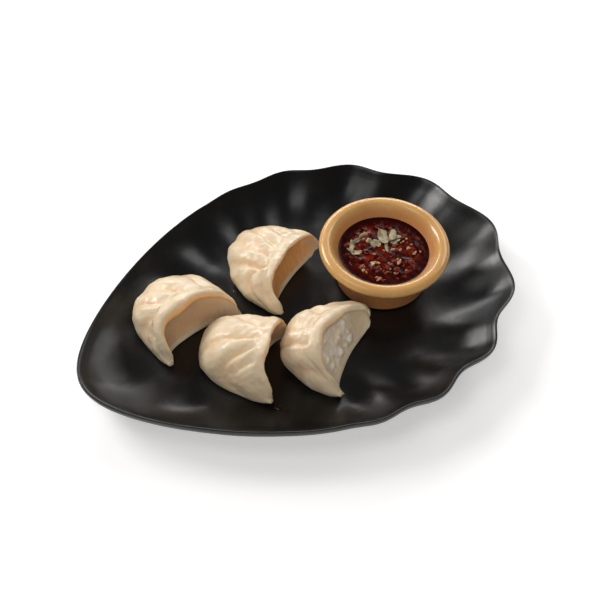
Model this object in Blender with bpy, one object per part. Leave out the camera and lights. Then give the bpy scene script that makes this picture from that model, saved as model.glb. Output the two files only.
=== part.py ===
"""Pleated steamed dumplings on a black leaf-shaped plate, with a tan pot of red chutney.

Every solid is built in place. The plate rests on its foot ring at z = 0, its tip points
to -X and its wide end to +X.
"""

import math

import bpy
import numpy as np

MM = 0.001
GAP = 0.5 * MM  # clear space between pieces that touch

# Plate: pressed leaf, smooth at the tip and scalloped at the wide end.
LEAF_CENTRE_X = -1.4 * MM
LEAF_HALF_LENGTH = 118.6 * MM
LEAF_HALF_WIDTH = 77.2 * MM
LEAF_WIDE_END = 17.8 * MM  # extra half width towards +X
LEAF_NARROW_ENDS = 6.5 * MM  # half width taken off both ends and put on the middle
SCALLOPS = 16
SCALLOP_DEPTH = 2.8 * MM
SCALLOP_FADE_END = math.radians(105)
SCALLOP_FADE_SPAN = math.radians(65)
PLATE_HEIGHT = 20.0 * MM
WELL_TOP = 5.0 * MM
WELL_EDGE = 0.66  # share of the leaf outline
FLUTE_DEPTH = 1.5 * MM
PLATE_THICK = 3.0 * MM
EDGE_THICK = 4.4 * MM
FOOT_INNER = 0.47
FOOT_OUTER = 0.52
PLATE_SEGMENTS = 96

# Ramekin: turned pot with a thick rounded lip.
RAMEKIN_X = 52.4 * MM
RAMEKIN_Y = 3.3 * MM
RAMEKIN_HEIGHT = 26.0 * MM
RAMEKIN_LIP_R = 34.4 * MM
RAMEKIN_FOOT_R = 24.3 * MM
RAMEKIN_SEGMENTS = 28

# Chutney: fills the pot to a level below the lip.
CHUTNEY_LEVEL = 20.2 * MM
CHUTNEY_FLOOR = 3.6 * MM

# Dumplings: half-moon pockets with a pleated belly on one side and a smooth wall on the other.
# Each is set out in millimetres from the chord between its two horns, with +Y the pleated side.
# at, turn: middle of the chord on the plate, and its angle in degrees.
# half, reach, height: half the chord, depth of the belly, height of the seam.
# wall, crest: how far out the smooth wall's foot and the seam stand at the middle.
# mass, peak: lean of the belly and of the seam towards the second horn.
# square: fullness of the belly in plan. hollow: dent of the smooth wall.
# horn_a, horn_b: pull on each horn. ears: height of each horn's tip.
DUMPLINGS = (
    {
        "name": "momo_1", "at": (-51.6, 4.9), "turn": 16.0,
        "half": 25.8, "reach": 37.0, "height": 25.3, "wall": 10.0, "crest": 13.7,
        "mass": 0.01, "peak": 0.17, "square": 0.62, "hollow": -0.05, "pleats": 7,
        "horn_a": (0.6, 0.9, 1.4), "horn_b": (-2.2, -1.5, 1.5), "ears": (5.0, 4.2),
    },
    {
        "name": "momo_2", "at": (-27.3, -24.1), "turn": 48.0,
        "half": 21.2, "reach": 38.0, "height": 28.0, "wall": 9.0, "crest": 2.5,
        "mass": -0.04, "peak": 0.2, "square": 0.55, "hollow": -0.06, "pleats": 6,
        "horn_a": (-3.6, -4.0, 0.8), "horn_b": (-0.5, -2.5, 2.5), "ears": (5.0, 4.5),
    },
    {
        "name": "momo_3", "at": (8.6, 17.4), "turn": 35.0,
        "half": 25.2, "reach": 39.2, "height": 23.2, "wall": 7.1, "crest": 8.1,
        "mass": -0.14, "peak": 0.1, "square": 0.88, "hollow": -0.05, "pleats": 6,
        "horn_a": (-0.8, -1.9, 3.1), "horn_b": (-0.9, -1.1, 7.4), "ears": (5.0, 5.5),
    },
    {
        "name": "momo_4", "at": (12.6, -42.0), "turn": 44.0,
        "half": 24.9, "reach": 32.5, "height": 26.8, "wall": 8.0, "crest": 20.5,
        "mass": 0.15, "peak": 0.25, "square": 0.8, "hollow": 0.04, "pleats": 6,
        "horn_a": (0.1, 4.8, 0.2), "horn_b": (0.9, 2.2, 9.0), "ears": (5.0, 6.0),
    },
)
PLEAT_DEPTH = 0.10
CAP_SHARES = (0.82, 0.45)  # the blunt end of a horn: ring size, in two steps
CAP_REACH = (0.8, 1.3)
# Section of a dumpling: shares of the way out and up, strength of the pleats, of the hollow wall.
SECTION = (
    (0.02, 0.00, 0.0, 0.0),
    (0.45, 0.00, 0.0, 0.0),
    (0.86, 0.00, 0.1, 0.0),
    (0.98, 0.09, 0.3, 0.0),
    (1.02, 0.24, 0.6, 0.0),
    (1.00, 0.40, 0.9, 0.0),
    (0.91, 0.56, 1.0, 0.0),
    (0.76, 0.71, 1.0, 0.0),
    (0.57, 0.83, 1.0, 0.0),
    (0.37, 0.92, 0.9, 0.0),
    (0.18, 0.98, 0.6, 0.0),
    (0.04, 1.02, 0.3, 0.0),
    (-0.05, 1.00, 0.1, 0.0),
    (-0.07, 0.93, 0.0, 0.0),
    (-0.04, 0.86, 0.0, 0.2),
    (0.00, 0.76, 0.0, 0.7),
    (0.00, 0.58, 0.0, 1.0),
    (0.00, 0.36, 0.0, 0.8),
    (0.00, 0.15, 0.0, 0.3),
)


def leaf_outline(angle):
    """x = L cos a, y = sin a (W + E cos a - N cos 2a), then scallops along the radius."""
    x = LEAF_HALF_LENGTH * np.cos(angle)
    half = LEAF_HALF_WIDTH + LEAF_WIDE_END * np.cos(angle) - LEAF_NARROW_ENDS * np.cos(2 * angle)
    y = np.sin(angle) * half
    polar = np.arctan2(y, x)
    radius = np.hypot(x, y) + SCALLOP_DEPTH * scallop_share(polar) * np.cos(SCALLOPS * polar)
    return radius * np.cos(polar), radius * np.sin(polar)


def scallop_share(polar):
    """1 at the wide end, falling in a straight line to 0 beyond the middle."""
    return np.clip((SCALLOP_FADE_END - np.abs(polar)) / SCALLOP_FADE_SPAN, 0, 1)


def plate_top(share, polar):
    """Height of the plate's upper face at a share of the outline: well, rising wall, flutes."""
    q = np.clip((share - WELL_EDGE) / (1 - WELL_EDGE), 0, 1)
    rise = (PLATE_HEIGHT - WELL_TOP) * (0.7 * q + 0.3 * q * q) * q
    strength = q * (1 - q) * 2.6 + 0.9 * q * q * scallop_share(polar)
    return WELL_TOP + rise - FLUTE_DEPTH * strength * np.cos(SCALLOPS * polar)


def outline_share(x, y):
    """Share of the leaf outline at a point, found from the outline's radius in that direction."""
    angle = np.linspace(-math.pi, math.pi, 721)
    ox, oy = leaf_outline(angle)
    order = np.argsort(np.arctan2(oy, ox))
    px = np.asarray(x) - LEAF_CENTRE_X
    polar = np.arctan2(y, px)
    radius = np.interp(polar, np.arctan2(oy, ox)[order], np.hypot(ox, oy)[order])
    return np.hypot(px, y) / radius, polar


def make_object(name, rings, material):
    """Mesh object from a list of closed rings, each an (n, 3) array, closed by a pole at each end."""
    rings = np.array(rings)
    count, around = rings.shape[:2]
    verts = rings.reshape(-1, 3).tolist()
    faces = []
    for i in range(count - 1):
        for j in range(around):
            k = (j + 1) % around
            faces.append((i * around + j, i * around + k, (i + 1) * around + k, (i + 1) * around + j))
    first_pole = len(verts)
    last = (count - 1) * around
    verts.append(rings[0].mean(0).tolist())
    verts.append(rings[-1].mean(0).tolist())
    for j in range(around):
        k = (j + 1) % around
        faces.append((first_pole, k, j))
        faces.append((first_pole + 1, last + j, last + k))
    mesh = bpy.data.meshes.new(name)
    mesh.from_pydata(verts, [], faces)
    mesh.update()
    obj = bpy.data.objects.new(name, mesh)
    bpy.context.scene.collection.objects.link(obj)
    obj.data.materials.append(material)
    return obj


def make_material(name, colour, roughness):
    """Plain Principled material."""
    material = bpy.data.materials.new(name)
    material.use_nodes = True
    shader = material.node_tree.nodes["Principled BSDF"]
    shader.inputs["Base Color"].default_value = (*colour, 1.0)
    shader.inputs["Roughness"].default_value = roughness
    return material


def build_plate():
    """Polar grid: up the underside from its middle, over the edge and down the upper face."""
    angle = np.linspace(0, 2 * math.pi, PLATE_SEGMENTS, endpoint=False)
    ox, oy = leaf_outline(angle)
    polar = np.arctan2(oy, ox)
    rings = []

    def ring(share, z):
        x = LEAF_CENTRE_X + share * ox
        rings.append(np.stack([x, share * oy, np.broadcast_to(z, x.shape)], 1))

    for share in (0.16, FOOT_INNER - 0.02):
        ring(share, WELL_TOP - PLATE_THICK)
    ring(FOOT_INNER, 0.0)
    ring(FOOT_OUTER, 0.0)
    ring(FOOT_OUTER + 0.02, WELL_TOP - PLATE_THICK)
    for share in (WELL_EDGE, 0.80, 0.93):
        ring(share, plate_top(share, polar) - PLATE_THICK - 0.6 * MM * (share - 0.5))
    rim = plate_top(1.0, polar)
    ring(0.985, rim - EDGE_THICK)
    ring(1.0, rim - 0.62 * EDGE_THICK)
    ring(0.998, rim - 0.2 * EDGE_THICK)
    ring(0.982, plate_top(0.982, polar) + 0.35 * MM)
    for share in (0.945, 0.89, 0.83, 0.77, 0.71, WELL_EDGE, 0.35):
        ring(share, plate_top(share, polar))
    black = make_material("plate", (0.012, 0.011, 0.011), 0.32)
    return make_object("plate", rings, black)


def build_turned(name, profile, centre, segments, material):
    """Solid turned about a vertical axis from (radius, height) pairs, lowest middle first."""
    turn = np.linspace(0, 2 * math.pi, segments, endpoint=False)
    rings = []
    for radius, z in profile:
        x = centre[0] + radius * np.cos(turn)
        y = centre[1] + radius * np.sin(turn)
        rings.append(np.stack([x, y, np.full(segments, centre[2] + z)], 1))
    return make_object(name, rings, material)


def pot_inner_radius(z):
    """Radius of the pot's inner wall at a height above its foot: a rounded tub with a flared mouth."""
    q = max((z - 3.0 * MM) / (RAMEKIN_HEIGHT - 3.0 * MM), 0.0)
    flare = max((z - 17.5 * MM) / (RAMEKIN_HEIGHT - 17.5 * MM), 0.0)
    return (18.0 + 6.2 * q ** 0.45 + 4.9 * flare ** 1.4) * MM


def build_ramekin_and_chutney():
    """The pot, turned from its foot up to the lip and down inside, and the sauce in it."""
    centre = (RAMEKIN_X, RAMEKIN_Y, WELL_TOP + GAP)
    top = RAMEKIN_HEIGHT
    lip = RAMEKIN_LIP_R
    foot = RAMEKIN_FOOT_R
    profile = [
        (8.0 * MM, 0.8 * MM),
        (foot - 3.5 * MM, 0.8 * MM),
        (foot - 2.6 * MM, 0.0),
        (foot - 0.8 * MM, 0.0),
        (foot, 0.9 * MM),
        (foot + 1.2 * MM, 6.0 * MM),
        (foot + 2.4 * MM, 12.0 * MM),
        (foot + 3.4 * MM, 18.0 * MM),
        (lip - 3.6 * MM, 20.2 * MM),
        (lip - 1.2 * MM, 20.9 * MM),
        (lip, 22.5 * MM),
        (lip - 0.3 * MM, 24.3 * MM),
        (lip - 1.8 * MM, top - 0.4 * MM),
        (lip - 3.4 * MM, top),
        (lip - 5.2 * MM, top - 0.3 * MM),
    ]
    for height in (24.9, 22.8, 19.8, 16.0, 10.5, 6.0, 4.0, 3.1):
        profile.append((pot_inner_radius(height * MM), height * MM))
    profile.append((8.0 * MM, 3.0 * MM))
    tan = make_material("ramekin", (0.72, 0.44, 0.16), 0.25)
    ramekin = build_turned("ramekin", profile, centre, RAMEKIN_SEGMENTS, tan)

    edge = CHUTNEY_LEVEL - 0.3 * MM
    sauce = [(8.0 * MM, CHUTNEY_FLOOR)]
    for height in (CHUTNEY_FLOOR, 4.6 * MM, 7.5 * MM, 11.0 * MM, 16.0 * MM, edge):
        sauce.append((pot_inner_radius(height) - 1.2 * GAP, height))
    sauce.append((pot_inner_radius(edge) - 1.4 * MM, CHUTNEY_LEVEL))
    sauce.append((8.0 * MM, CHUTNEY_LEVEL))
    red = make_material("chutney", (0.16, 0.012, 0.006), 0.2)
    chutney = build_turned("chutney", sauce, centre, RAMEKIN_SEGMENTS, red)
    return ramekin, chutney


def power(value, exponent):
    """Signed power."""
    return np.sign(value) * np.abs(value) ** exponent


def dumpling_rings(spec, along=24):
    """Rings of one dumpling from horn to horn, in its own frame, in millimetres.

    Three running curves, inner base, outer base and crest, each carry the section's shares.
    """
    half, reach, height = spec["half"], spec["reach"], spec["height"]
    rings = []
    for step in range(along + 1):
        u = math.sin((step / along - 0.5) * math.pi * 0.96) / math.sin(0.48 * math.pi)
        turn = u * math.pi / 2
        w = u + spec["mass"] * (1 - u * u)
        c = u + spec["peak"] * (1 - u * u)
        full = max(1 - abs(c) ** 2.5, 0.0)
        round_out = max(math.cos(w * math.pi / 2), 0.0) ** spec["square"]
        horn = np.array(spec["horn_a"] if u < 0 else spec["horn_b"]) * abs(u) ** 5
        ear = spec["ears"][0] * (1 - u) / 2 + spec["ears"][1] * (1 + u) / 2
        swing = ear * math.copysign(abs(u) ** 6, u)
        inner_x = half * (0.45 * u + 0.5 * math.sin(turn)) - 0.70 * swing
        inner = np.array([inner_x, spec["wall"] * full - 2.0, 0.0])
        outer_x = (half - 0.5) * power(math.sin(turn), 0.84)
        outer_y = -2.0 + ear - 0.75 * abs(swing) + (reach - 2.5) * round_out
        outer = np.array([outer_x, outer_y, 0.0])
        rise = max(1 - abs(c) ** 2.3, 0.0) ** 0.75
        crest_x = half * (0.35 * u + 0.65 * math.sin(turn)) - 0.35 * swing
        crest_z = ear + (height - ear) * rise
        crest_y = spec["crest"] * full ** 0.75 + 0.5
        crest = np.array([crest_x, crest_y, crest_z])
        fold = ((u * 0.5 + 0.5) * spec["pleats"] + 0.35) % 1.0
        wave = fold ** 0.55 - 0.65
        ring = []
        for out, up, pleat, hollow in SECTION:
            swell = PLEAT_DEPTH * wave * pleat * full
            out = out + swell * (out - 0.3) - spec["hollow"] * hollow * full
            up = up + swell * (up - 0.2)
            ring.append(inner + out * (outer - inner) + up * (crest - inner) + horn)
        rings.append(np.array(ring))
    for end, side in ((0, -1), (-1, 1)):
        tip = rings[end]
        away = np.cross(tip[6] - tip[0], tip[10] - tip[0])
        away = side * away / np.linalg.norm(away)
        for share, reach_out in zip(CAP_SHARES, CAP_REACH):
            cap = tip.mean(0) + share * (tip - tip.mean(0)) + reach_out * away
            if side < 0:
                rings.insert(0, cap)
            else:
                rings.append(cap)
    return np.array(rings)


def build_dumpling(spec, dough):
    """One dumpling, set down on the plate: its base follows the plate's upper face."""
    rings = dumpling_rings(spec) * MM
    turn = math.radians(spec["turn"])
    x = spec["at"][0] * MM + rings[..., 0] * math.cos(turn) - rings[..., 1] * math.sin(turn)
    y = spec["at"][1] * MM + rings[..., 0] * math.sin(turn) + rings[..., 1] * math.cos(turn)
    share, polar = outline_share(x, y)
    rise = plate_top(share, polar) - WELL_TOP
    z = WELL_TOP + GAP + rings[..., 2] + rise * (1 - rings[..., 2] / (30 * MM))
    return make_object(spec["name"], np.stack([x, y, z], -1), dough)


def main():
    """Clear the scene, then build every piece."""
    for old in list(bpy.data.objects):
        bpy.data.objects.remove(old)
    build_plate()
    build_ramekin_and_chutney()
    dough = make_material("dough", (0.80, 0.66, 0.47), 0.42)
    for spec in DUMPLINGS:
        build_dumpling(spec, dough)


main()
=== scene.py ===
"""Four pleated steamed dumplings on a black leaf-shaped plate, with a small tan pot of red chutney.

Pieces are made in the order they are set on the table: the plate, the pot, the chutney and
what floats in it, the dumplings, the drops of water, and last the table, lights and camera.
All sizes are in metres.
"""

import math

import bpy
import numpy as np
from mathutils import Matrix, Vector


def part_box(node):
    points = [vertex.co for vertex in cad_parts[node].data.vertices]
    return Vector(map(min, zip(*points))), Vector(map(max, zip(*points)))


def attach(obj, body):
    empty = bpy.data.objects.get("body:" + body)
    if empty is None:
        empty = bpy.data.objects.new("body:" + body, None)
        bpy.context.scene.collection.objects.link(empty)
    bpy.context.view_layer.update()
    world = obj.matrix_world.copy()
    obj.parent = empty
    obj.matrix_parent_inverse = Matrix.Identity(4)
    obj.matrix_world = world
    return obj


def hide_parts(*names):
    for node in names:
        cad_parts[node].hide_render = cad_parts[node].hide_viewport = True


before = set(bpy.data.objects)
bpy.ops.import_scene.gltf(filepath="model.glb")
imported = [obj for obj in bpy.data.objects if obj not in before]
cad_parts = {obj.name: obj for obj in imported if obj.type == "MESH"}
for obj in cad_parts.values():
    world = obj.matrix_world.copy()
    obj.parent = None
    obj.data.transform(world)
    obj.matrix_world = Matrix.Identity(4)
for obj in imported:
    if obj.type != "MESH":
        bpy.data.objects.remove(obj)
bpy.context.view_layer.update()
MM = 0.001


# ---------------------------------------------------------------------------
# Plate. One pressed leaf of black melamine: a flat well, a wall that rises in soft flutes
# to a rounded lip, and a foot ring underneath. Smooth at the tip, scalloped at the wide end.
# ---------------------------------------------------------------------------

LEAF_CENTRE_X = -1.4 * MM
LEAF_HALF_LENGTH = 118.6 * MM
LEAF_HALF_WIDTH = 77.2 * MM
LEAF_WIDE_END = 17.8 * MM  # extra half width towards +X
LEAF_NARROW_ENDS = 6.5 * MM  # half width taken off both ends and put on the middle
SCALLOPS = 16
SCALLOP_DEPTH = 2.8 * MM
SCALLOP_FADE_END = math.radians(105)
SCALLOP_FADE_SPAN = math.radians(65)
RIM_RISE = 15.0 * MM
STANDING_GAP = 0.5 * MM  # between the well and what stands on it
WELL_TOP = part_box("ramekin")[0][2] - STANDING_GAP
WELL_EDGE = 0.66  # share of the leaf outline
FLUTE_DEPTH = 1.5 * MM
FLUTE_START = 0.5


def scallop_share(polar):
    """1 at the wide end, falling in a straight line to 0 beyond the middle."""
    return np.clip((SCALLOP_FADE_END - np.abs(polar)) / SCALLOP_FADE_SPAN, 0, 1)


def leaf_outline(angle):
    """x = L cos a, y = sin a (W + E cos a - N cos 2a), then scallops along the radius."""
    x = LEAF_HALF_LENGTH * np.cos(angle)
    half = LEAF_HALF_WIDTH + LEAF_WIDE_END * np.cos(angle) - LEAF_NARROW_ENDS * np.cos(2 * angle)
    y = np.sin(angle) * half
    polar = np.arctan2(y, x)
    radius = np.hypot(x, y) + SCALLOP_DEPTH * scallop_share(polar) * np.cos(SCALLOPS * polar)
    return radius * np.cos(polar), radius * np.sin(polar)


def plate_top(share, polar):
    """Height of the upper face at a share of the outline: well, then a rising wall with flutes."""
    q = np.clip((share - WELL_EDGE) / (1 - WELL_EDGE), 0, 1)
    rise = RIM_RISE * (0.7 * q + 0.3 * q * q) * q
    reach = np.clip((share - FLUTE_START) / (1 - FLUTE_START), 0, 1)
    strength = 2.9 * reach**1.6 * (1 - reach) + 0.55 * reach**3 * scallop_share(polar)
    return WELL_TOP + rise - FLUTE_DEPTH * strength * np.cos(SCALLOPS * polar)


def outline_share(x, y):
    """Share of the leaf outline, and polar angle, of points on the plate."""
    angle = np.linspace(-math.pi, math.pi, 1441)
    ox, oy = leaf_outline(angle)
    order = np.argsort(np.arctan2(oy, ox))
    polar = np.arctan2(y, x - LEAF_CENTRE_X)
    radius = np.interp(polar, np.arctan2(oy, ox)[order], np.hypot(ox, oy)[order])
    return np.hypot(x - LEAF_CENTRE_X, y) / radius, polar


def smooth_path(points, per_step, closed=False):
    """Rows of numbers joined by a Catmull-Rom curve: each step is a cubic with the slopes
    of its neighbours, so that the curve passes through every row."""
    points = np.asarray(points, float)
    count = len(points)
    steps = count if closed else count - 1
    t = np.arange(steps * per_step + (0 if closed else 1)) / per_step
    i = np.minimum(t.astype(int), steps - 1)
    f = (t - i)[:, None]

    def row(k):
        return points[k % count] if closed else points[np.clip(k, 0, count - 1)]

    a, b, c, d = row(i - 1), row(i), row(i + 1), row(i + 2)
    square = 2 * a - 5 * b + 4 * c - d
    cube = 3 * b - a - 3 * c + d
    return 0.5 * (2 * b + (c - a) * f + square * f**2 + cube * f**3)


def ring_faces(count, around):
    """Faces of a body of rings: four-sided ones between the rings, and a fan of three-sided ones
    round each pole. The poles are the two points numbered after the rings' own."""
    i, j = np.meshgrid(np.arange(count - 1), np.arange(around), indexing="ij")
    k = (j + 1) % around
    low = i * around
    high = (i + 1) * around
    quads = np.stack([low + j, low + k, high + k, high + j], -1).reshape(-1, 4)
    j = np.arange(around)
    k = (j + 1) % around
    pole = np.full(around, count * around)
    last = (count - 1) * around
    fans = np.concatenate([np.stack([pole, k, j], -1), np.stack([pole + 1, last + j, last + k], -1)])
    return quads, fans


def piece_from_rings(name, rings, material, material_slot, node=None, **marks):
    """Closed body from a (rings, around, 3) grid of points with a pole at each end.

    Each mark is a (rings, around) grid of numbers kept as a point attribute for the material.
    """
    points = np.concatenate([rings.reshape(-1, 3), rings[:1].mean(1), rings[-1:].mean(1)])
    quads, fans = ring_faces(*rings.shape[:2])
    piece = mesh_piece(name, points, quads, fans, material)
    for mark, grid in marks.items():
        values = np.concatenate([grid.ravel(), [grid[0].mean(), grid[-1].mean()]])
        layer = piece.data.attributes.new(mark, "FLOAT", "POINT")
        layer.data.foreach_set("value", values.astype(np.float32))
    if node:
        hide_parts(node)
    return piece


def mesh_piece(name, points, quads, triangles, material):
    """Smooth mesh piece from arrays of points, four-sided and three-sided faces."""
    mesh = bpy.data.meshes.new(name)
    corners = np.concatenate([quads.ravel(), triangles.ravel()]).astype(np.int32)
    sizes = np.concatenate([np.full(len(quads), 4), np.full(len(triangles), 3)]).astype(np.int32)
    starts = np.concatenate([[0], np.cumsum(sizes)[:-1]]).astype(np.int32)
    mesh.vertices.add(len(points))
    mesh.vertices.foreach_set("co", points.astype(np.float32).ravel())
    mesh.loops.add(len(corners))
    mesh.loops.foreach_set("vertex_index", corners)
    mesh.polygons.add(len(sizes))
    mesh.polygons.foreach_set("loop_start", starts)
    mesh.polygons.foreach_set("loop_total", sizes)
    mesh.update(calc_edges=True)
    mesh.validate()
    mesh.shade_smooth()
    piece = bpy.data.objects.new(name, mesh)
    bpy.context.scene.collection.objects.link(piece)
    piece.data.materials.append(material)
    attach(piece, "root")
    return piece


def new_material(name, roughness, **sockets):
    """Material with one Principled shader. Returns the material, its node tree and the shader."""
    material = bpy.data.materials.new(name)
    material.use_nodes = True
    tree = material.node_tree
    shader = tree.nodes["Principled BSDF"]
    shader.inputs["Roughness"].default_value = roughness
    for socket, value in sockets.items():
        shader.inputs[socket.replace("_", " ")].default_value = value
    return material, tree, shader


def add_node(tree, kind, settings=(), **inputs):
    """Node with its settings and inputs filled in: an input is a value or another node's output."""
    node = tree.nodes.new(kind)
    for key, value in dict(settings).items():
        setattr(node, key, value)
    for key, value in inputs.items():
        socket = node.inputs[int(key[1:]) if key[0] == "i" and key[1:].isdigit() else key.replace("_", " ")]
        if isinstance(value, bpy.types.NodeSocket):
            tree.links.new(value, socket)
        else:
            socket.default_value = value
    return node


def noise_at(tree, scale, detail=3.0, roughness=0.5, distortion=0.0):
    """Noise in the object's own coordinates."""
    place = add_node(tree, "ShaderNodeTexCoord").outputs["Object"]
    return add_node(
        tree, "ShaderNodeTexNoise", Vector=place, Scale=scale, Detail=detail, Roughness=roughness,
        Distortion=distortion,
    ).outputs["Fac"]


def spread(tree, value, low, high, to_low=0.0, to_high=1.0):
    """Range low..high of a value mapped to to_low..to_high, and clamped."""
    node = add_node(tree, "ShaderNodeMapRange", {"interpolation_type": "SMOOTHSTEP"}, i0=value)
    for index, number in enumerate((low, high, to_low, to_high), 1):
        node.inputs[index].default_value = number
    return node.outputs[0]


def blend_colours(tree, share, first, second, mode="MIX"):
    """First colour, going over to the second by share."""
    node = add_node(tree, "ShaderNodeMix", {"data_type": "RGBA", "blend_type": mode})
    for index, value in ((0, share), (6, first), (7, second)):
        if isinstance(value, bpy.types.NodeSocket):
            tree.links.new(value, node.inputs[index])
        else:
            node.inputs[index].default_value = value if index == 0 else (*value, 1.0)
    return node.outputs[2]


def join_bump(tree, shader, layers):
    """Bump layers, each (height, depth in metres), chained into the shader's normal."""
    normal = None
    for height, depth in layers:
        bump = add_node(tree, "ShaderNodeBump", Height=height, Distance=depth, Strength=1.0)
        if normal:
            tree.links.new(normal, bump.inputs["Normal"])
        normal = bump.outputs["Normal"]
    tree.links.new(normal, shader.inputs["Normal"])


def black_melamine():
    """Pressed black melamine: satin, with a fine mould grain and faint wipe marks."""
    material, tree, shader = new_material("black_melamine", 0.36, IOR=1.5)
    wipes = spread(tree, noise_at(tree, 28.0, 4.0, 0.6, 1.2), 0.42, 0.68, 0.30, 0.40)
    tree.links.new(wipes, shader.inputs["Roughness"])
    dust = spread(tree, noise_at(tree, 1600.0, 2.0), 0.62, 0.74)
    colour = blend_colours(tree, dust, (0.0046, 0.0042, 0.0041), (0.013, 0.012, 0.0115))
    tree.links.new(colour, shader.inputs["Base Color"])
    join_bump(tree, shader, [(noise_at(tree, 90.0, 2.0), 0.00018), (noise_at(tree, 1400.0, 2.0), 0.000012)])
    return material


# Share of the outline, and height in millimetres against the upper face, from the middle of
# the underside round the edge; the upper face itself follows as evenly spaced rings.
PLATE_SECTION = (
    (0.02, -3.0), (0.25, -3.0), (0.44, -3.0), (0.458, -3.15), (0.466, -4.4), (0.472, -5.0), (0.495, -5.0),
    (0.518, -5.0), (0.524, -4.4), (0.532, -3.15), (0.55, -3.0), (0.66, -3.0), (0.80, -3.2), (0.92, -3.3),
    (0.965, -3.9), (0.982, -4.35), (0.994, -3.9), (1.0, -2.4), (0.9985, -0.9), (0.992, -0.05), (0.982, 0.25),
    (0.968, 0.15), (0.95, 0.0),
)
PLATE_AROUND = 900
PATH_STEPS = 5  # points for each step of a section


def make_plate():
    """Polar grid: share of the leaf outline by angle, with the flutes in the height."""
    angle = np.linspace(0, 2 * math.pi, PLATE_AROUND, endpoint=False)
    ox, oy = leaf_outline(angle)
    polar = np.arctan2(oy, ox)
    lower = smooth_path(PLATE_SECTION, PATH_STEPS)
    wall = np.linspace(PLATE_SECTION[-1][0], FLUTE_START, 64)[1:]
    well = np.linspace(FLUTE_START, 0.01, 10)[1:]
    share = np.concatenate([lower[:, 0], wall, well])[:, None]
    offset = np.concatenate([lower[:, 1] * MM, 0 * wall, 0 * well])[:, None]
    x = LEAF_CENTRE_X + share * ox
    y = share * oy
    z = plate_top(share, polar[None]) + offset
    rings = np.stack([x, y, z], -1)
    return piece_from_rings("leaf_plate", rings, black_melamine(), "plate", "plate")


make_plate()


# ---------------------------------------------------------------------------
# Pot. A turned ramekin of tan melamine with a broad rolled lip, a straight body and a
# small foot; it stands free in the well.
# ---------------------------------------------------------------------------

pot_low, pot_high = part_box("ramekin")
POT_CENTRE = ((pot_low[0] + pot_high[0]) / 2, (pot_low[1] + pot_high[1]) / 2, pot_low[2])
POT_HEIGHT = pot_high[2] - pot_low[2]
POT_LIP = (pot_high[0] - pot_low[0]) / 2
POT_FOOT = 24.3 * MM
POT_FLOOR = 3.0 * MM
POT_FLARE = 17.5 * MM  # height where the mouth begins to open
POT_AROUND = 240


def pot_inner_radius(z):
    """Radius of the inner wall at a height above the foot: a rounded tub with a flared mouth."""
    q = np.clip((z - POT_FLOOR) / (POT_HEIGHT - POT_FLOOR), 0, 1)
    flare = np.clip((z - POT_FLARE) / (POT_HEIGHT - POT_FLARE), 0, 1)
    return (18.0 + 6.2 * q**0.45 + 4.9 * flare**1.4) * MM


def turned_rings(profile, centre, around):
    """Rings about a vertical axis from (radius, height) pairs, lowest middle first."""
    turn = np.linspace(0, 2 * math.pi, around, endpoint=False)
    radius, z = profile[:, :1], profile[:, 1:]
    x = centre[0] + radius * np.cos(turn)
    y = centre[1] + radius * np.sin(turn)
    return np.stack([x, y, np.broadcast_to(centre[2] + z, x.shape)], -1)


def smooth_step(low, high, value):
    """0 below low, 1 above high, with an S-shaped ramp between."""
    t = np.clip((value - low) / (high - low), 0, 1)
    return t * t * (3 - 2 * t)


def tan_melamine():
    """Glossy tan melamine: warm and slightly cloudy, with a faint orange-peel skin. It goes over
    to a darker brown where the deep mark is set, which is painted shade."""
    material, tree, shader = new_material(
        "tan_melamine", 0.24, IOR=1.5, Subsurface_Weight=0.12, Subsurface_Scale=0.004, Coat_Weight=0.25,
    )
    shader.inputs["Subsurface Radius"].default_value = (1.0, 0.45, 0.2)
    shader.inputs["Coat Roughness"].default_value = 0.12
    cloud = spread(tree, noise_at(tree, 60.0, 3.0), 0.35, 0.7)
    colour = blend_colours(tree, cloud, (0.63, 0.36, 0.125), (0.56, 0.30, 0.098))
    specks = spread(tree, noise_at(tree, 900.0, 2.0), 0.66, 0.76, 0.0, 0.35)
    # Painted shade: a darker brown where the deep mark is set.
    deep = add_node(tree, "ShaderNodeAttribute", {"attribute_name": "deep"}).outputs["Fac"]
    colour = blend_colours(tree, deep, colour, (0.47, 0.185, 0.062))
    tree.links.new(blend_colours(tree, specks, colour, (0.50, 0.25, 0.09)), shader.inputs["Base Color"])
    wear = spread(tree, noise_at(tree, 240.0, 3.0), 0.35, 0.7, 0.18, 0.30)
    tree.links.new(wear, shader.inputs["Roughness"])
    join_bump(tree, shader, [(noise_at(tree, 260.0, 2.0), 0.00006), (noise_at(tree, 1500.0, 1.0), 0.000008)])
    return material


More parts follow.
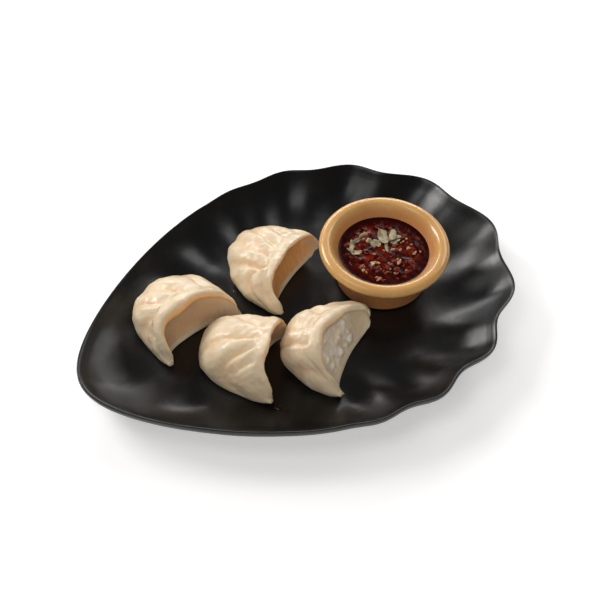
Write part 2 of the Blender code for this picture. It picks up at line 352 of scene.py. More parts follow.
def make_pot():
    """Section from the foot up the outside, over the lip and down inside, turned about its axis.
    It is set out in millimetres; the deep mark is painted shade under the lip and down in the bowl."""
    foot = POT_FOOT / MM
    lip = POT_LIP / MM
    top = POT_HEIGHT / MM
    outside = [
        (0.5, 0.8), (8.0, 0.8), (foot - 3.6, 0.8), (foot - 3.0, 0.5), (foot - 2.6, 0.0), (foot - 0.9, 0.0),
        (foot - 0.1, 0.35), (foot + 0.35, 1.6), (foot + 1.2, 6.0), (foot + 2.4, 12.0), (foot + 3.4, 18.0),
        (foot + 4.2, 19.8), (lip - 3.4, 20.5), (lip - 1.4, 20.9), (lip - 0.35, 21.8), (lip, 23.1),
        (lip - 0.5, 24.6), (lip - 1.8, 25.65), (lip - 3.5, top), (lip - 5.2, top - 0.3),
    ]
    inside = [(pot_inner_radius(z * MM) / MM, z) for z in (24.8, 23.4, 21.6, 19.5, 16.0, 12.0, 8.0, 5.4, 4.0)]
    floor = [(16.5, 3.15), (12.0, 3.0), (0.5, 3.0)]
    profile = smooth_path(outside + inside + floor, PATH_STEPS) * MM
    rings = turned_rings(profile, POT_CENTRE, POT_AROUND)
    # The deep mark: painted shade under the lip and down in the bowl.
    under_lip = 1 - smooth_step(18.5 * MM, 22.0 * MM, rings[..., 2] - POT_CENTRE[2])
    bowl = 0.8 * smooth_step(0.5 * MM, 4.5 * MM, rings[..., 2].max() - rings[..., 2])
    inner = (np.arange(len(rings)) > PATH_STEPS * len(outside))[:, None]
    deep = np.where(inner, bowl, 0.85 * under_lip)
    return piece_from_rings("ramekin_pot", rings, tan_melamine(), "ramekin", "ramekin", deep=deep)


make_pot()


# ---------------------------------------------------------------------------
# Chutney. Cooked tomato and chilli, blended coarse: a wet dark red body with a lumpy top that
# climbs a little at the pot's wall. Seeds, flakes, soft lumps and cut herbs float in it.
# ---------------------------------------------------------------------------

SAUCE_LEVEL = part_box("chutney")[1][2]
SAUCE_GAP = 0.25 * MM  # between the chutney and the pot's wall
SAUCE_EDGE = float(pot_inner_radius(SAUCE_LEVEL - POT_CENTRE[2])) - SAUCE_GAP
SAUCE_AROUND = 300
LUMP_ROOM = 0.9 * MM  # height kept for the lumps on top


def soft_lumps(x, y, pitch, height, seed):
    """Sum of round bumps on a jittered square lattice: each is height * exp(-(d / size)^2)."""
    generator = np.random.default_rng(seed)
    total = np.zeros_like(x)
    span = np.arange(-SAUCE_EDGE * 1.1, SAUCE_EDGE * 1.1, pitch)
    for cx in span:
        for cy in span:
            jx, jy, size, tall = generator.uniform(-0.5, 0.5, 4)
            d = np.hypot(x - cx - jx * pitch, y - cy - jy * pitch) / (pitch * (0.42 + 0.3 * size))
            total += height * (0.5 + tall) * np.exp(-(d**2))
    return total


def sauce_top(x, y):
    """Height of the chutney at a place seen from the pot's axis: lumps, and a climb at the wall."""
    r = np.hypot(x, y) / SAUCE_EDGE
    lumps = soft_lumps(x, y, 5.2 * MM, 0.55 * MM, 3) + soft_lumps(x, y, 2.3 * MM, 0.16 * MM, 4)
    calm = np.clip((0.98 - r) / 0.3, 0, 1)
    climb = 0.35 * MM * np.clip((r - 0.9) / 0.1, 0, 1) ** 2
    return SAUCE_LEVEL - LUMP_ROOM + lumps * calm + climb


def red_chutney():
    """Wet chutney: dark red liquor, brighter and flecked with oil towards the middle,
    and a low shine over fine grain."""
    material, tree, shader = new_material(
        "red_chutney", 0.12, IOR=1.34, Subsurface_Weight=0.15, Subsurface_Scale=0.002,
    )
    shader.inputs["Subsurface Radius"].default_value = (1.0, 0.2, 0.1)
    shader.inputs["Specular IOR Level"].default_value = 0.18
    middle = add_node(tree, "ShaderNodeAttribute", {"attribute_name": "middle"}).outputs["Fac"]
    grain = spread(tree, noise_at(tree, 300.0, 4.0, 0.6, 0.6), 0.44, 0.68)
    # Brighter red grain towards the middle, darker towards the pot's wall.
    middle_grain = add_node(tree, "ShaderNodeMath", {"operation": "MULTIPLY"}, i0=grain, i1=middle).outputs[0]
    colour = blend_colours(tree, middle_grain, (0.024, 0.0014, 0.0008), (0.155, 0.010, 0.003))
    oil = spread(tree, noise_at(tree, 620.0, 2.0), 0.62, 0.72, 0.0, 0.35)
    oil = add_node(tree, "ShaderNodeMath", {"operation": "MULTIPLY"}, i0=oil, i1=middle).outputs[0]
    tree.links.new(blend_colours(tree, oil, colour, (0.25, 0.042, 0.009)), shader.inputs["Base Color"])
    wetness = spread(tree, noise_at(tree, 500.0, 3.0), 0.35, 0.7, 0.14, 0.28)
    tree.links.new(wetness, shader.inputs["Roughness"])
    join_bump(tree, shader, [(noise_at(tree, 380.0, 4.0), 0.00014), (noise_at(tree, 1300.0, 2.0), 0.00003)])
    return material


def make_chutney():
    """Turned body under a lumpy top disc, set out from the pot's axis. The middle mark fades
    out before the pot's wall."""
    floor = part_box("chutney")[0][2] - POT_CENTRE[2]
    level = SAUCE_LEVEL - POT_CENTRE[2]
    heights = np.linspace(floor, level - LUMP_ROOM, 14)
    side = np.stack([pot_inner_radius(heights) - SAUCE_GAP, heights], 1)
    side = np.concatenate([[(4.0 * MM, floor)], side])
    body = turned_rings(side, POT_CENTRE, SAUCE_AROUND)
    turn = np.linspace(0, 2 * math.pi, SAUCE_AROUND, endpoint=False)
    share = np.linspace(0.998, 0.01, 90)[:, None]
    x = share * SAUCE_EDGE * np.cos(turn)
    y = share * SAUCE_EDGE * np.sin(turn)
    top = np.stack([POT_CENTRE[0] + x, POT_CENTRE[1] + y, sauce_top(x, y)], -1)
    rings = np.concatenate([body, top])
    fade = np.broadcast_to(np.clip((0.93 - share) / 0.25, 0, 1), x.shape)
    middle = np.concatenate([np.zeros(body.shape[:2]), fade])
    return piece_from_rings("chutney_body", rings, red_chutney(), "chutney", "chutney", middle=middle)


make_chutney()


# What floats in the chutney: pale chilli seeds, red flakes, soft dark lumps of tomato, and
# cut herbs and bits of onion lying half sunk.


def pebbles(places, sizes, turns, tilts, bend, unevenness, seed, rings=9, around=12):
    """Many small closed bodies as one grid: (copies, rings, around, 3).

    Each is a sphere stretched to its sizes, dented by two low waves, bent upwards along its
    length by bend * x^2, tilted about its own x axis, turned about z and put in its place.
    """
    generator = np.random.default_rng(seed)
    copies = len(places)
    rise = np.linspace(-0.5, 0.5, rings + 2)[1:-1] * math.pi
    turn = np.linspace(0, 2 * math.pi, around, endpoint=False)
    unit = np.stack([
        np.cos(rise)[:, None] * np.cos(turn), np.cos(rise)[:, None] * np.sin(turn),
        np.sin(rise)[:, None] * np.ones(around),
    ], -1)
    waves = generator.uniform(-1, 1, (copies, 2, 3)) * 3.2
    phases = generator.uniform(0, 2 * math.pi, (copies, 2))
    dents = np.einsum("ckx,rax->crak", waves, unit) + phases[:, None, None]
    swell = 1 + unevenness * np.sin(dents).sum(-1)
    shape = unit[None] * swell[..., None] * np.asarray(sizes)[:, None, None] / 2
    shape[..., 2] += bend * shape[..., 0] ** 2
    shape = np.einsum("cij,craj->crai", spin_matrices(turns, tilts), shape)
    return shape + np.asarray(places)[:, None, None]


def spin_matrices(turns, tilts):
    """Rotations: tilt about x, then turn about z, one 3 x 3 matrix for each copy."""
    c, s = np.cos(turns), np.sin(turns)
    k, t = np.cos(tilts), np.sin(tilts)
    zero, one = np.zeros_like(c), np.ones_like(c)
    about_z = np.array([[c, -s, zero], [s, c, zero], [zero, zero, one]]).transpose(2, 0, 1)
    about_x = np.array([[one, zero, zero], [zero, k, -t], [zero, t, k]]).transpose(2, 0, 1)
    return about_z @ about_x


def pebble_piece(name, shape, material):
    """One mesh piece from the grid of many small bodies, each closed by two poles."""
    copies, count, around = shape.shape[:3]
    poles = np.stack([shape[:, 0].mean(1), shape[:, -1].mean(1)], 1)
    points = np.concatenate([shape.reshape(copies, -1, 3), poles], 1)
    quads, fans = ring_faces(count, around)
    step = (np.arange(copies) * points.shape[1])[:, None, None]
    quads = (quads[None] + step).reshape(-1, 4)
    fans = (fans[None] + step).reshape(-1, 3)
    return mesh_piece(name, points.reshape(-1, 3), quads, fans, material)


def on_sauce(radius, turn, sunk):
    """Places on the chutney's top, from distance and angle about the pot's axis."""
    x = radius * np.cos(turn)
    y = radius * np.sin(turn)
    return np.stack([POT_CENTRE[0] + x, POT_CENTRE[1] + y, sauce_top(x, y) - sunk], -1)


def wet_bit(name, first, second, scale, roughness=0.42, glow=0.2):
    """Damp vegetable flesh: two colours in soft patches, with a low shine."""
    material, tree, shader = new_material(
        name, roughness, Subsurface_Weight=glow, Subsurface_Scale=0.0015, Coat_Weight=0.06,
    )
    shader.inputs["Coat Roughness"].default_value = 0.2
    shader.inputs["Specular IOR Level"].default_value = 0.15
    patch = spread(tree, noise_at(tree, scale, 3.0), 0.4, 0.62)
    tree.links.new(blend_colours(tree, patch, first, second), shader.inputs["Base Color"])
    join_bump(tree, shader, [(noise_at(tree, scale * 3, 3.0), 0.00012)])
    return material


def scatter(name, count, sizes, sunk, material, bend=0.0, unevenness=0.12, reach=0.92, flat=0.4, seed=0):
    """Bits strewn evenly over the chutney, each within 30 % of its kind's size."""
    generator = np.random.default_rng(seed)
    radius = SAUCE_EDGE * reach * np.sqrt(generator.uniform(0.0, 1.0, count))
    turn = generator.uniform(0, 2 * math.pi, count)
    scale = generator.uniform(0.7, 1.3, (count, 1))
    places = on_sauce(radius, turn, sunk)
    shape = pebbles(
        places, np.array(sizes) * MM * scale, generator.uniform(0, 2 * math.pi, count),
        generator.uniform(-flat, flat, count), bend, unevenness, seed + 50,
    )
    return pebble_piece(name, shape, material)


scatter(
    "chutney_seeds", 30, (1.5, 1.1, 0.6), -0.02 * MM,
    wet_bit("chilli_seed", (0.42, 0.22, 0.085), (0.30, 0.10, 0.03), 500.0), reach=0.8, seed=21,
)
scatter(
    "chutney_flakes", 60, (2.4, 1.5, 0.35), 0.05 * MM,
    wet_bit("chilli_flake", (0.14, 0.012, 0.005), (0.06, 0.005, 0.003), 400.0), 60.0, 0.2, 0.85, seed=22,
)
scatter(
    "chutney_lumps", 22, (3.4, 2.6, 1.7), 0.62 * MM,
    wet_bit("tomato_lump", (0.13, 0.014, 0.005), (0.20, 0.035, 0.012), 300.0), 0.0, 0.16, 0.8, seed=23,
)

# The larger bits, set out from the pot's axis in millimetres: x, y, length, width, turn in degrees.
HERBS = (
    (5.1, 9.0, 8.5, 4.6, 71),
    (9.3, 7.0, 7.6, 4.4, 37),
    (2.1, 0.5, 6.0, 1.9, 70),
    (9.0, 2.5, 5.4, 2.8, 8),
    (-2.0, 7.4, 8.0, 3.6, -78),
    (-14.3, 9.9, 6.4, 1.9, 60),
    (-10.0, 12.4, 6.6, 2.0, 4),
    (-12.3, 4.9, 6.0, 2.4, 1),
    (-3.6, 14.5, 5.0, 2.2, 5),
    (3.5, 3.8, 7.0, 1.3, 60),
    (5.8, 5.6, 4.5, 1.2, 120),
    (3.0, 7.2, 3.6, 2.4, 20),
    (11.2, 5.0, 3.2, 2.0, -30),
    (6.8, 10.8, 3.4, 2.6, 110),
    (-3.8, 9.6, 3.2, 2.2, 10),
    (-0.8, 4.4, 3.0, 1.8, -40),
    (-15.9, 7.4, 4.0, 1.6, 100),
    (-13.6, 6.3, 3.2, 1.5, -30),
)
ONION_BITS = (
    (3.0, -10.8, 3.2, 1.4, 45),
    (-9.7, -5.0, 3.0, 2.2, 20),
    (-7.4, -5.9, 2.4, 1.8, -30),
    (-12.0, -15.9, 3.2, 1.5, 5),
    (4.5, -1.5, 2.2, 1.5, 10),
    (8.2, -3.6, 2.0, 1.3, 50),
    (-16.5, -7.0, 2.0, 1.4, 80),
    (12.6, -4.4, 1.9, 1.3, 30),
    (13.5, -9.0, 1.8, 1.2, 0),
)


def laid_bits(name, rows, thickness, bend, material, seed):
    """Cut pieces laid on the chutney, each rocked a little to one side or the other."""
    rows = np.array(rows)
    x, y = rows[:, 0] * MM, rows[:, 1] * MM
    places = on_sauce(np.hypot(x, y), np.arctan2(y, x), -0.2 * MM)
    sizes = np.stack([rows[:, 2], rows[:, 3], np.full(len(rows), thickness)], 1) * MM
    turns = np.radians(rows[:, 4])
    tilts = np.radians(11.0) * (-1.0) ** np.arange(len(rows))
    shape = pebbles(places, sizes, turns, tilts, bend, 0.30, seed, rings=17, around=28)
    return pebble_piece(name, shape, material)


laid_bits(
    "chutney_herbs", HERBS, 0.5, 30.0,
    wet_bit("cut_herb", (0.37, 0.315, 0.205), (0.19, 0.155, 0.085), 380.0), 71,
)
laid_bits(
    "chutney_onion", ONION_BITS, 0.9, 10.0,
    wet_bit("onion_bit", (0.50, 0.33, 0.18), (0.36, 0.17, 0.08), 500.0), 72,
)


# ---------------------------------------------------------------------------
# Dumplings. Each is a round of wheat dough folded over its filling, gathered into pleats
# along one side and pinched to a thick seam; the other side stays smooth and hollow. Horns
# point out at both ends. Steamed, so the skin is moist, and thin where it is stretched.
# ---------------------------------------------------------------------------

# Set out in millimetres from the chord between the horns, with +Y the pleated side; horn a
# is at -X and horn b at +X, and a pair of numbers goes from a to b unless it says otherwise.
# at, turn: place on the plate, and turn in degrees.
# half, reach, height: half the chord, how far the belly comes out, and the top of the seam.
# wall, crest: how far out the hollow wall and the seam stand at the middle.
# mass, peak: how far the fullest and the highest place are shifted along the seam.
# square: how boxy the belly is, less being boxier. hollow: how far the wall sinks in (below
# 0) or swells out, as a share of the depth.
# horn_a, horn_b: how far each tip is drawn out. ears: height of the section at the tips.
# lip, tips: share of the seam's thickness, and extra swelling, at each end.
# glow: painted glow of light through the skin, as a warm tint under the seam and on the wall.
# deep: painted shade, a brown tint on the wall.
# pleats: place of each fold along the seam (-1..1), how far it wanders going down the belly,
# where it ends (0 seam, 1 base) and its depth.
DUMPLINGS = (
    {
        "name": "momo_1", "at": (-51.6, 4.9), "turn": 16.0,
        "half": 25.8, "reach": 37.0, "height": 25.3, "wall": 10.0, "crest": 13.7,
        "mass": 0.01, "peak": 0.17, "square": 0.62, "hollow": -0.05,
        "horn_a": (0.6, -0.4, 1.4), "horn_b": (-1.0, -1.5, 1.5), "ears": (5.0, 4.2),
        "lip": (1.7, 1.1), "glow": (0.9, 0.35), "deep": (0.45, 0.15), "tips": (0.1, 0.1),
        "pleats": (
            (-0.86, 0, 0.6, 1.6), (-0.55, -0.7, 0.42, 1.8), (-0.32, -0.32, 0.46, 1.8),
            (0.04, -0.4, 0.36, 1.7), (0.36, -0.1, 0.38, 1.6), (0.69, 0.05, 0.36, 1.6),
        ),
    },
    {
        "name": "momo_2", "at": (-27.3, -24.1), "turn": 48.0,
        "half": 21.2, "reach": 38.0, "height": 28.0, "wall": 9.0, "crest": 2.5,
        "mass": -0.04, "peak": 0.20, "square": 0.55, "hollow": -0.06,
        "horn_a": (-3.6, -5.0, 0.8), "horn_b": (-0.5, -2.5, 2.5), "ears": (5.0, 4.5),
        "lip": (0.8, 1.0), "glow": (0.9, 0.9), "deep": (0.7, 0.7), "tips": (0.25, 0.0),
        "pleats": (
            (-0.93, 0, 0.5, 1), (-0.62, -0.41, 0.5, 1.7), (-0.33, -0.69, 0.62, 2.2),
            (-0.15, -0.05, 0.46, 2.1), (0.06, 0.82, 0.56, 1.7), (0.5, 0.3, 0.4, 1.1),
        ),
    },
    {
        "name": "momo_3", "at": (8.6, 17.4), "turn": 35.0,
        "half": 25.2, "reach": 39.2, "height": 23.2, "wall": 7.1, "crest": 8.1,
        "mass": -0.14, "peak": 0.10, "square": 0.88, "hollow": -0.05,
        "horn_a": (-0.8, -3.1, 3.1), "horn_b": (0.3, -1.1, 7.4), "ears": (5.0, 5.5),
        "lip": (0.5, 0.7), "glow": (0.8, 1.0), "deep": (0.7, 0.0), "tips": (0.15, -0.15),
        "pleats": (
            (-0.31, -0.89, 0.64, 2.2), (-0.42, 0.13, 0.95, 2.1), (-0.2, 0.36, 0.9, 1.9),
            (-0.03, 0.65, 0.8, 1.3), (0.3, 0.4, 0.5, 1.1), (0.6, 0.29, 0.7, 1.1),
        ),
    },
    {
        "name": "momo_4", "at": (12.6, -42.0), "turn": 44.0,
        "half": 24.9, "reach": 32.5, "height": 26.8, "wall": 8.0, "crest": 20.5,
        "mass": 0.15, "peak": 0.25, "square": 0.80, "hollow": 0.04,
        "horn_a": (-0.2, 2.8, 0.2), "horn_b": (0.9, 2.2, 9.0), "ears": (5.0, 6.0),
        "lip": (0.8, 1.6), "glow": (0.35, 0.2), "deep": (0.0, 0.0), "tips": (0.3, 0.2),
        "pleats": (
            (-0.99, 0.34, 0.85, 1.7), (-0.51, 0.2, 0.85, 2.2), (-0.175, 0.07, 0.5, 1.9),
            (0.1, 0.4, 0.6, 1.4), (0.4, 0.2, 0.5, 1.2), (0.78, -0.8, 0.32, 1.2),
        ),
    },
)
# Section of a dumpling: shares of the way out and up, strength of the hollow wall, and the
# pinched seam's own thickness, out and up in millimetres.
SECTION = (
    (0.02, 0.00, 0.0, 0, 0), (0.45, 0.00, 0.0, 0, 0), (0.86, 0.00, 0.0, 0, 0),
    (0.98, 0.09, 0.0, 0, 0), (1.02, 0.24, 0.0, 0, 0), (1.00, 0.40, 0.0, 0, 0),
    (0.91, 0.56, 0.0, 0, 0), (0.76, 0.71, 0.0, 0, 0), (0.57, 0.83, 0.0, 0, 0),
    (0.37, 0.92, 0.0, 0.2, -0.9), (0.19, 0.98, 0.0, 0.6, -1.7), (0.05, 1.00, 0.0, 0.5, 0.1),
    (0.00, 1.00, 0.0, -0.9, 0.9), (0.00, 1.00, 0.0, -2.4, 0.5), (0.00, 1.00, 0.0, -3.2, -1.1),
    (0.00, 0.97, 0.1, -1.9, -2.7), (0.00, 0.80, 0.7, 0, 0), (0.01, 0.58, 1.0, 0, 0),
    (0.01, 0.34, 0.8, 0, 0), (0.00, 0.14, 0.3, 0, 0),
)
CREST_ROW = 11
BASE_ROW = 2
ROW_STEPS = 10
ALONG = 340
PLEAT_HALF_WIDTH = 0.12  # along the seam, as a share of half its length


def power(value, exponent):
    """sign(v) |v|^e."""
    return np.sign(value) * np.abs(value) ** exponent


def pleat_relief(spec, u, down):
    """Folds of the dough in millimetres. Beside each fold's line the dough swells on one side and
    drops on the other, -tanh(s / edge) exp(-|s|), and a wider soft hollow carries on below it."""
    relief = np.zeros(np.broadcast_shapes(u.shape, down.shape))
    for place, wander, end, depth in spec["pleats"]:
        s = (u - place - wander * down) / PLEAT_HALF_WIDTH
        edge = 0.28 + 0.50 * down
        ridge = -np.tanh(s / edge) * np.exp(-np.abs(s) / 0.9)
        share = smooth_step(0.0, 0.10, down) * (1 - smooth_step(0.5 * end, 1.2 * end, down))
        begun = smooth_step(0.05, 0.3, down)
        hollow = -0.65 * np.exp(-(s**2)) * begun * (1 - smooth_step(0.45, 0.95, down))
        relief += depth * (ridge * share + hollow)
    return relief


def dough_waves(points, seed, length, height, count=10):
    """Soft unevenness: a sum of plane waves in random directions, about length long."""
    generator = np.random.default_rng(seed)
    total = np.zeros(points.shape[:-1])
    for _ in range(count):
        direction = generator.normal(size=3)
        direction /= np.linalg.norm(direction)
        wave = 2 * math.pi / (length * generator.uniform(0.7, 1.5))
        total += np.sin(points @ direction * wave + generator.uniform(0, 2 * math.pi))
    return height * total / math.sqrt(count)


def grid_normals(points):
    """Outward normals of a (rings, around, 3) grid that closes on itself around."""
    along = np.gradient(points, axis=0)
    across = np.roll(points, -1, axis=1) - np.roll(points, 1, axis=1)
    normal = np.cross(across, along)
    return normal / np.maximum(np.linalg.norm(normal, axis=-1, keepdims=True), 1e-12)


def from_a_to_b(pair, u):
    """Value at u (-1..1) on the straight line from the first number of a pair to the second."""
    return pair[0] * (1 - u) / 2 + pair[1] * (1 + u) / 2


def dumpling_grid(spec):
    """Rings from horn to horn in the dumpling's own frame, in millimetres, with its marks.

    Each ring is the section laid out between three places that run along the dumpling: inner
    at the foot of the hollow wall, outer at the foot of the belly, and crest at the seam.
    """
    half, reach, height = spec["half"], spec["reach"], spec["height"]
    step = np.linspace(0, 1, ALONG + 1)[:, None]
    u = np.sin((step - 0.5) * math.pi * 0.96) / math.sin(0.48 * math.pi)
    turn = u * math.pi / 2
    w = u + spec["mass"] * (1 - u * u)
    c = u + spec["peak"] * (1 - u * u)
    full = np.clip(1 - np.abs(c) ** 2.5, 0, 1)
    round_out = np.clip(np.cos(w * math.pi / 2), 0, 1) ** spec["square"]
    ear = from_a_to_b(spec["ears"], u)
    swing = ear * power(u, 6)
    zero = np.zeros_like(u)
    inner_x = half * (0.45 * u + 0.5 * np.sin(turn)) - 0.70 * swing
    inner = np.stack([inner_x, spec["wall"] * full - 2.0, zero], -1)
    outer_x = (half - 0.5) * power(np.sin(turn), 0.84)
    outer_y = -2.0 + ear - 0.75 * np.abs(swing) + (reach - 2.5) * round_out
    outer = np.stack([outer_x, outer_y, zero], -1)
    rise = np.clip(1 - np.abs(c) ** 2.3, 0, 1) ** 0.75
    crest_x = half * (0.35 * u + 0.65 * np.sin(turn)) - 0.35 * swing
    crest = np.stack([crest_x, spec["crest"] * full**0.75 + 0.5, ear + (height - ear) * rise], -1)
    side_a = u[..., None] < 0
    drawn = np.where(side_a, np.array(spec["horn_a"]), np.array(spec["horn_b"]))
    horn = drawn * np.abs(u[..., None]) ** (5.0, 5.0, 3.0)

    section = smooth_path(SECTION, ROW_STEPS, closed=True)
    row = np.arange(len(section)) / ROW_STEPS
    down = np.clip((CREST_ROW - row) / (CREST_ROW - BASE_ROW), 0, 1)[None]
    wall_share = smooth_step(15.0, 16.2, row)[None] * (1 - smooth_step(18.4, 19.6, row))[None]
    under_seam = smooth_step(12.6, 14.0, row)[None] * (1 - smooth_step(15.4, 17.0, row))[None]
    out = section[None, :, 0] - spec["hollow"] * section[None, :, 2] * full
    up = np.broadcast_to(section[None, :, 1], out.shape)
    lean = (outer - inner) / np.linalg.norm(outer - inner, axis=-1, keepdims=True)
    tall = (crest - inner) / np.linalg.norm(crest - inner, axis=-1, keepdims=True)
    lip = section[None, :, 3:4] * lean + section[None, :, 4:5] * tall
    lip_size = np.where(row < CREST_ROW - 0.5, 1.0, from_a_to_b(spec["lip"], u))
    ripple = (1 + 0.12 * np.sin(9 * u + spec["turn"]))[..., None]
    lip = lip_size[..., None] * lip * (0.55 + 0.45 * full[..., None]) * ripple
    rings = inner + out[..., None] * (outer - inner) + up[..., None] * (crest - inner) + lip + horn

    # Horns: the section swells a little and turns round towards the tip.
    middle = rings.mean(1, keepdims=True)
    spoke = rings - middle
    radius = np.linalg.norm(spoke, axis=-1, keepdims=True)
    even = spoke / radius * radius.mean(1, keepdims=True)
    tip_a, tip_b = spec["tips"]
    end = smooth_step(0.70, 1.0, np.abs(u))[..., None]
    swell = 1 + np.where(side_a, tip_a, tip_b) * end
    taper = np.sqrt(1 - 0.75 * np.clip((np.abs(u)[..., None] - 0.94) / 0.06, 0, 1) ** 2)
    rings = middle + (spoke + 0.4 * (even - spoke) * end) * swell * taper

    pleated = (row <= CREST_ROW)[None]
    folds = pleat_relief(spec, u, down) * full**0.5 * pleated
    base = smooth_step(0.0, 2.5, row)[None]
    rings = rings + grid_normals(rings) * (folds * base)[..., None]
    hollows = np.clip(-folds - 0.3, 0, 1.2) / 1.2
    # Painted light: an orange glow under the seam and on the hollow wall, for light through the skin.
    inside = np.maximum(spec["glow"][0] * under_seam, spec["glow"][1] * wall_share) * full
    # Painted shade: brown on the hollow wall.
    deep = from_a_to_b(spec["deep"], u) * wall_share * full
    # Painted shade in the fold hollows, added to the painted glow.
    shade = np.clip(inside + 0.2 * hollows, 0, 1)
    return rings, u, {"shade": shade, "deep": deep, "wall": wall_share * full}


CAP_ANGLES = np.radians((22, 42, 60, 76))


def close_horns(rings):
    """Rounds both ends off with shrinking rings pushed out along the horn."""
    caps = []
    for end in (0, -1):
        tip = rings[end]
        middle = tip.mean(0)
        spokes = tip - middle
        away = np.cross(spokes, np.roll(spokes, -1, axis=0)).sum(0)
        outwards = middle - rings[6 if end == 0 else -7].mean(0)
        away *= np.sign(away @ outwards) / np.linalg.norm(away)
        size = 0.75 * np.linalg.norm(spokes, axis=1).mean()
        rows = [middle + math.cos(a) * spokes + 0.5 * size * math.sin(a) * away for a in CAP_ANGLES]
        caps.append(np.array(rows[::-1] if end == 0 else rows))
    return np.concatenate([caps[0], rings, caps[1]])


def pad_marks(grid):
    """Marks for the extra rings at each horn."""
    extra = len(CAP_ANGLES)
    return np.concatenate([np.repeat(grid[:1], extra, 0), grid, np.repeat(grid[-1:], extra, 0)])


def steamed_dough():
    """Moist steamed wheat dough: cream, faintly mottled, with a soft wet shine. The marks tint
    it: shade goes to orange, a painted glow of light through the skin and painted shade in the
    folds; deep goes to brown, painted shade on the hollow wall; and thin to the paler, patchy
    look of filling behind a stretched skin."""
    material, tree, shader = new_material(
        "steamed_dough", 0.42, IOR=1.42, Subsurface_Weight=0.4, Subsurface_Scale=0.0035, Coat_Weight=0.35,
    )
    shader.inputs["Subsurface Radius"].default_value = (1.0, 0.48, 0.22)
    shader.inputs["Coat Roughness"].default_value = 0.2
    shade = add_node(tree, "ShaderNodeAttribute", {"attribute_name": "shade"}).outputs["Fac"]
    deep = add_node(tree, "ShaderNodeAttribute", {"attribute_name": "deep"}).outputs["Fac"]
    thin = add_node(tree, "ShaderNodeAttribute", {"attribute_name": "thin"}).outputs["Fac"]
    mottle = spread(tree, noise_at(tree, 130.0, 4.0, 0.55), 0.35, 0.7)
    cream = blend_colours(tree, mottle, (0.73, 0.60, 0.42), (0.66, 0.52, 0.345))
    # Painted light and shade: orange for light glowing through the skin and for shade in the folds, then
    # brown for shade on the hollow wall.
    warm = blend_colours(tree, shade, cream, (0.88, 0.44, 0.14))
    warm = blend_colours(tree, deep, warm, (0.34, 0.16, 0.075))
    filling = spread(tree, noise_at(tree, 260.0, 3.0, 0.5, 0.4), 0.42, 0.62)
    stretched = blend_colours(tree, filling, (0.80, 0.65, 0.46), (0.92, 0.83, 0.68))
    specks = spread(tree, noise_at(tree, 1100.0, 2.0), 0.68, 0.76, 0.0, 0.25)
    colour = blend_colours(tree, thin, warm, stretched)
    tree.links.new(blend_colours(tree, specks, colour, (0.58, 0.42, 0.25)), shader.inputs["Base Color"])
    moist = spread(tree, noise_at(tree, 170.0, 3.0), 0.35, 0.7, 0.34, 0.52)
    tree.links.new(moist, shader.inputs["Roughness"])
    join_bump(tree, shader, [
        (noise_at(tree, 200.0, 4.0, 0.55), 0.00035), (noise_at(tree, 900.0, 3.0, 0.6), 0.00006),
    ])
    return material


DOUGH = steamed_dough()
THIN_WALLED = "momo_4"
FILLING_LUMPS = 16
LEVELLED_BY = 30.0 * MM  # height at which a dumpling no longer follows the plate under it
DOUGH_GAP = 0.3 * MM
# Unevenness of the dough: seed, length and height, in millimetres.
WAVES = ((30, 17.0, 0.30), (60, 7.0, 0.15), (90, 3.0, 0.05))


def filling_lumps(rings, thin):
    """Height in millimetres of round bits of filling that press out through the thin wall."""
    generator = np.random.default_rng(97)
    spots = rings[thin > 0.9]
    height = np.zeros(thin.shape)
    if len(spots):
        for _ in range(FILLING_LUMPS):
            away = np.linalg.norm(rings - spots[generator.integers(len(spots))], axis=-1)
            tall = generator.uniform(0.6, 1.1)
            wide = generator.uniform(1.3, 2.2)
            height = np.maximum(height, tall * np.exp(-((away / wide) ** 4)))
    return height * thin


def make_dumpling(spec, number):
    """One dumpling, set down on the plate: its base follows the plate's upper face."""
    rings, u, marks = dumpling_grid(spec)
    thin = np.zeros(rings.shape[:2])
    if spec["name"] == THIN_WALLED:
        thin = np.clip(marks["wall"] * 1.3, 0, 1)
        thin = thin * smooth_step(-0.85, -0.45, u) * (1 - smooth_step(0.35, 0.7, u))
    rings = close_horns(rings)
    marks = {"shade": marks["shade"], "deep": marks["deep"], "thin": thin}
    marks = {mark: pad_marks(grid) for mark, grid in marks.items()}
    lumps = filling_lumps(rings, marks["thin"])
    uneven = sum(dough_waves(rings, seed + number, length, height) for seed, length, height in WAVES)
    flat = np.clip(rings[..., 2] / 3.0, 0, 1)
    flat[:8] *= np.linspace(0, 1, 8)[:, None]
    flat[-8:] *= np.linspace(1, 0, 8)[:, None]
    rings = rings + grid_normals(rings) * ((uneven + lumps) * flat)[..., None]
    rings = rings * MM
    angle = math.radians(spec["turn"])
    x = spec["at"][0] * MM + rings[..., 0] * math.cos(angle) - rings[..., 1] * math.sin(angle)
    y = spec["at"][1] * MM + rings[..., 0] * math.sin(angle) + rings[..., 1] * math.cos(angle)
    share, polar = outline_share(x, y)
    rise = plate_top(share, polar) - WELL_TOP
    z = WELL_TOP + DOUGH_GAP + rings[..., 2] + rise * (1 - rings[..., 2] / LEVELLED_BY)
    name = spec["name"]
    piece_from_rings(name + "_dough", np.stack([x, y, z], -1), DOUGH, "dough", name, **marks)


for number, spec in enumerate(DUMPLINGS):
    make_dumpling(spec, number)


# ---------------------------------------------------------------------------
# Drops of water shaken off the dumplings, standing on the plate.
# ---------------------------------------------------------------------------


def water():
    """Clear water with a fine dust of flour in it."""
    material, tree, shader = new_material("water_drop", 0.03, IOR=1.33, Transmission_Weight=1.0)
    flour = spread(tree, noise_at(tree, 900.0, 2.0), 0.4, 0.7, 0.02, 0.10)
    tree.links.new(flour, shader.inputs["Roughness"])
    join_bump(tree, shader, [(noise_at(tree, 500.0, 2.0), 0.00004)])
    return material


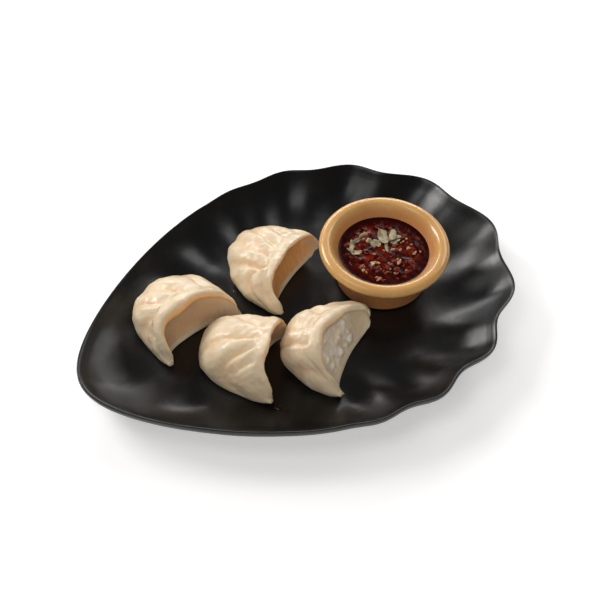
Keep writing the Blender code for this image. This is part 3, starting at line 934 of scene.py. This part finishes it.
# Places and sizes in millimetres: x, y, length, width, height, and turn in degrees.
DROPS = np.array((
    (-36.6, -48.6, 5.6, 3.4, 1.6, -60.0),
    (-33.6, -52.0, 2.6, 1.8, 0.9, 10.0),
    (-23.4, 28.4, 2.6, 2.0, 1.0, 40.0),
))


def make_drops():
    """Low domes, half sunk so that they meet the plate."""
    x, y = DROPS[:, 0] * MM, DROPS[:, 1] * MM
    places = np.stack([x, y, plate_top(*outline_share(x, y))], -1)
    sizes = DROPS[:, 2:5] * MM
    turns = np.radians(DROPS[:, 5])
    shape = pebbles(places, sizes, turns, 0 * x, 0.0, 0.06, 81, rings=17, around=32)
    return pebble_piece("water_drops", shape, water())


make_drops()


# ---------------------------------------------------------------------------
# Table, lights and camera. The plate is seen from in front at its long side, turned by 30
# degrees, with a soft window light from behind on the left and dimmer panels round it.
# ---------------------------------------------------------------------------

VIEW_TURN = math.radians(30)
VIEW_RISE = math.radians(51)
VIEW_ROLL = math.radians(2.5)
VIEW_DISTANCE = 0.642
VIEW_MIDDLE = Vector((0.0074, 0.0113, 0.0))
TABLE_HALF_SIDE = 3.0


def seen(right, away, up):
    """Point of the object's frame from directions as seen by the viewer."""
    x = right * math.cos(VIEW_TURN) + away * math.sin(VIEW_TURN)
    y = -right * math.sin(VIEW_TURN) + away * math.cos(VIEW_TURN)
    return Vector((x, y, up))


def make_table():
    """Plain pale table top, glowing faintly so that it stays pale all over."""
    material, tree, shader = new_material("pale_table", 0.6, Emission_Strength=0.3)
    shader.inputs["Emission Color"].default_value = (1.0, 1.0, 1.0, 1.0)
    cloud = spread(tree, noise_at(tree, 3.0, 2.0), 0.3, 0.7)
    colour = blend_colours(tree, cloud, (0.87, 0.87, 0.87), (0.84, 0.84, 0.84))
    tree.links.new(colour, shader.inputs["Base Color"])
    mesh = bpy.data.meshes.new("table")
    side = TABLE_HALF_SIDE
    corners = [(-side, -side, 0), (side, -side, 0), (side, side, 0), (-side, side, 0)]
    mesh.from_pydata(corners, [], [(0, 1, 2, 3)])
    table = bpy.data.objects.new("table", mesh)
    mesh.materials.append(material)
    bpy.context.scene.collection.objects.link(table)


def add_light(name, right, away, up, width, height, watts, colour, shines=True):
    """Rectangular soft light at a place given as the viewer sees it, aimed at the middle of the
    view. One that doesn't shine leaves no reflection."""
    light = bpy.data.lights.new(name, "AREA")
    light.shape = "RECTANGLE"
    light.size = width
    light.size_y = height
    light.energy = watts
    light.color = colour
    lamp = bpy.data.objects.new(name, light)
    lamp.visible_glossy = shines
    place = VIEW_MIDDLE + seen(right, away, up)
    aim = (place - VIEW_MIDDLE).to_track_quat("Z", "Y").to_matrix().to_4x4()
    lamp.matrix_world = Matrix.Translation(place) @ aim
    bpy.context.scene.collection.objects.link(lamp)


def make_camera():
    """Long lens at the viewer's place, rolled slightly."""
    back = seen(0, -math.cos(VIEW_RISE), math.sin(VIEW_RISE))
    right = Vector((0, 0, 1)).cross(back).normalized()
    up = back.cross(right)
    rolled_right = right * math.cos(VIEW_ROLL) + up * math.sin(VIEW_ROLL)
    rolled_up = -right * math.sin(VIEW_ROLL) + up * math.cos(VIEW_ROLL)
    data = bpy.data.cameras.new("camera")
    data.lens = 72
    data.sensor_width = 36
    camera = bpy.data.objects.new("camera", data)
    turn = Matrix((rolled_right, rolled_up, back)).transposed().to_4x4()
    camera.matrix_world = Matrix.Translation(VIEW_MIDDLE + back * VIEW_DISTANCE) @ turn
    bpy.context.scene.collection.objects.link(camera)
    bpy.context.scene.camera = camera


def make_world():
    """Dim even surroundings."""
    world = bpy.data.worlds.new("room")
    world.use_nodes = True
    world.node_tree.nodes["Background"].inputs["Color"].default_value = (0.90, 0.92, 0.95, 1.0)
    world.node_tree.nodes["Background"].inputs["Strength"].default_value = 0.10
    bpy.context.scene.world = world


make_table()
make_world()
add_light("window", -0.90, 0.48, 0.66, 0.55, 0.4, 9.0, (1.0, 0.98, 0.96))
add_light("back_panel", -0.1, 1.15, 0.52, 1.1, 0.32, 8.5, (1.0, 0.98, 0.97))
add_light("side_panel", 0.80, 0.92, 0.95, 1.0, 0.5, 5.0, (1.0, 0.98, 0.97))
add_light("ceiling", -0.55, -0.20, 1.2, 0.6, 0.6, 2.6, (1.0, 0.98, 0.97))
add_light("front_fill", 0.12, -0.95, 0.8, 1.0, 0.8, 6.0, (1.0, 0.97, 0.94), shines=False)
make_camera()
bpy.context.scene.view_settings.view_transform = "Standard"
